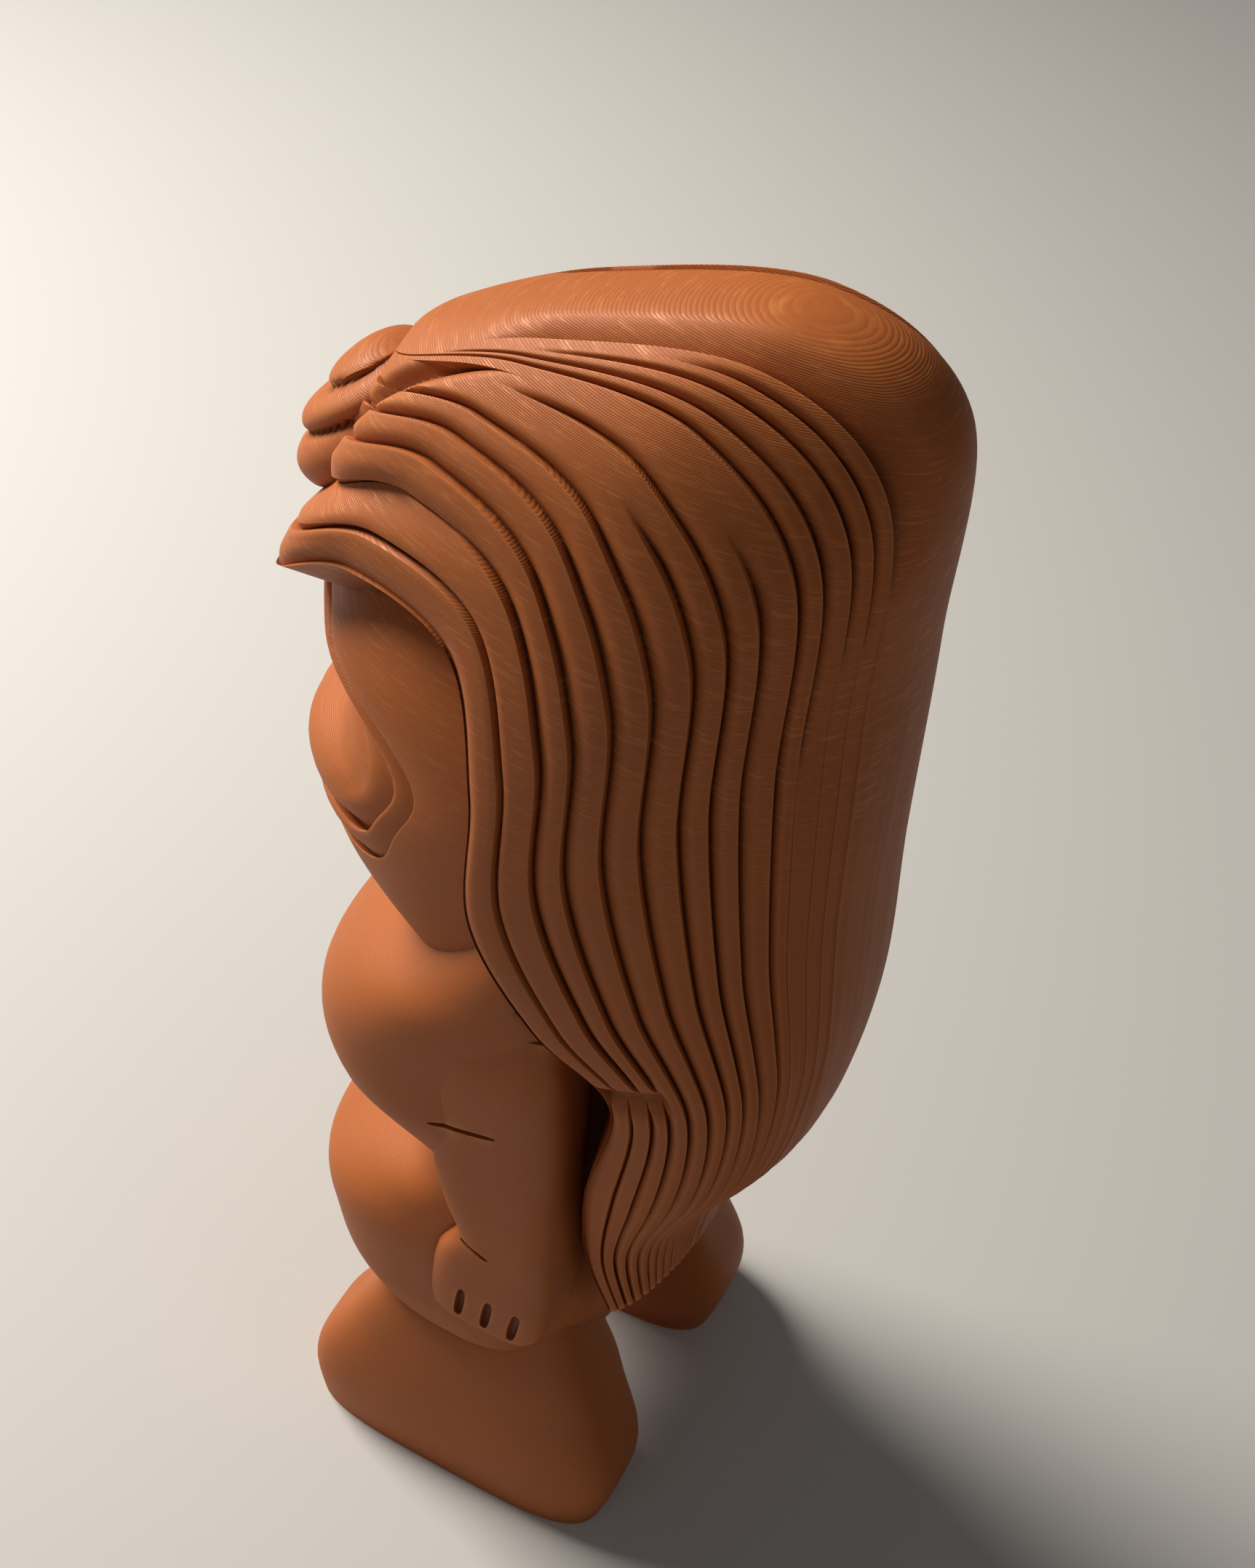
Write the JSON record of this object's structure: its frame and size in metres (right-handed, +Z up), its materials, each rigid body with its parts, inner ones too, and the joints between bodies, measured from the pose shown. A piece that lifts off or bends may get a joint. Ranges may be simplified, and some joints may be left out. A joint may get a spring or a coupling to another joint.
{
  "type": "tiki statue",
  "caption": "Small standing tiki figure in printed plastic, with a combed mane down its back, a wide mouth, folded bands and flat feet.",
  "frame": {"origin": "on the floor under the middle of the figure's outer box", "axes": "+Z up, the figure faces -Y, its left side is +X"},
  "size_m": [0.061, 0.0834, 0.2067],
  "materials": {
    "copper_plastic": "satin"
  },
  "bodies": {
    "root": {"tiki_statue": "copper_plastic"}
  },
  "joints": []
}
